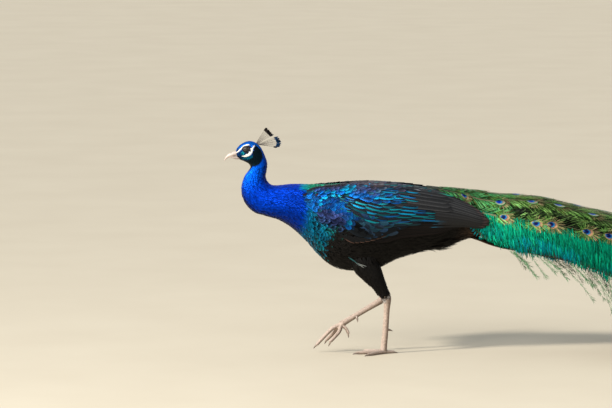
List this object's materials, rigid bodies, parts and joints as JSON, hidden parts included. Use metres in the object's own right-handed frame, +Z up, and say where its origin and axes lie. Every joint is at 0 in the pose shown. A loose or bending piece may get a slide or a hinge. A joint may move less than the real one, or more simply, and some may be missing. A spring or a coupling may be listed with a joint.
{
  "type": "peacock, still life-size model",
  "caption": "Life-size still model of a walking male Indian peafowl: blue neck, fan crest, folded wings, one foot down and one lifted, closed train sloping to the floor.",
  "frame": {"origin": "on the floor, on the flat underside of the standing left foot at the ball of the foot; the middle plane of the body is y = 0", "axes": "+Z up; +X from the bill towards the end of the train, so the bird faces -X; its left side is towards -Y"},
  "size_m": [1.9953, 0.374, 0.5933],
  "materials": {
    "neck_blue": "satin",
    "breast_teal": "satin",
    "body_black": "matte",
    "wing_covert": "satin",
    "flight_feather": "matte",
    "crest_feather": "satin",
    "train_bronze": "satin",
    "train_emerald": "satin",
    "tail_quill": "matte",
    "leg_skin": "matte",
    "bill_horn": "satin",
    "claw_horn": "satin",
    "eye": "gloss"
  },
  "bodies": {
    "root": {"head": "neck_blue", "neck_upper": "neck_blue", "neck_lower": "neck_blue", "breast": "breast_teal", "belly_and_back": "body_black", "rump": "body_black", "bill_upper": "bill_horn", "bill_lower": "bill_horn", "eye_left": "eye", "eye_right": "eye", "crest": "crest_feather", "wing_left_coverts": "wing_covert", "wing_left_secondaries": "flight_feather", "wing_left_primaries": "flight_feather", "wing_right_coverts": "wing_covert", "wing_right_secondaries": "flight_feather", "wing_right_primaries": "flight_feather", "thigh_left": "body_black", "shank_left": "leg_skin", "spur_left": "claw_horn", "toe_left_middle": "leg_skin", "claw_left_middle": "claw_horn", "toe_left_outer": "leg_skin", "claw_left_outer": "claw_horn", "toe_left_inner": "leg_skin", "claw_left_inner": "claw_horn", "toe_left_hind": "leg_skin", "claw_left_hind": "claw_horn", "thigh_right": "body_black", "shank_right": "leg_skin", "spur_right": "claw_horn", "toe_right_middle": "leg_skin", "claw_right_middle": "claw_horn", "toe_right_outer": "leg_skin", "claw_right_outer": "claw_horn", "toe_right_inner": "leg_skin", "claw_right_inner": "claw_horn", "toe_right_hind": "leg_skin", "claw_right_hind": "claw_horn", "tail": "tail_quill", "train_base_top": "train_bronze", "train_base_left": "train_emerald", "train_base_right": "train_emerald", "train_middle_top": "train_bronze", "train_middle_left": "train_emerald", "train_middle_right": "train_emerald", "train_end_top": "train_bronze", "train_end_left": "train_emerald", "train_end_right": "train_emerald"}
  },
  "joints": []
}
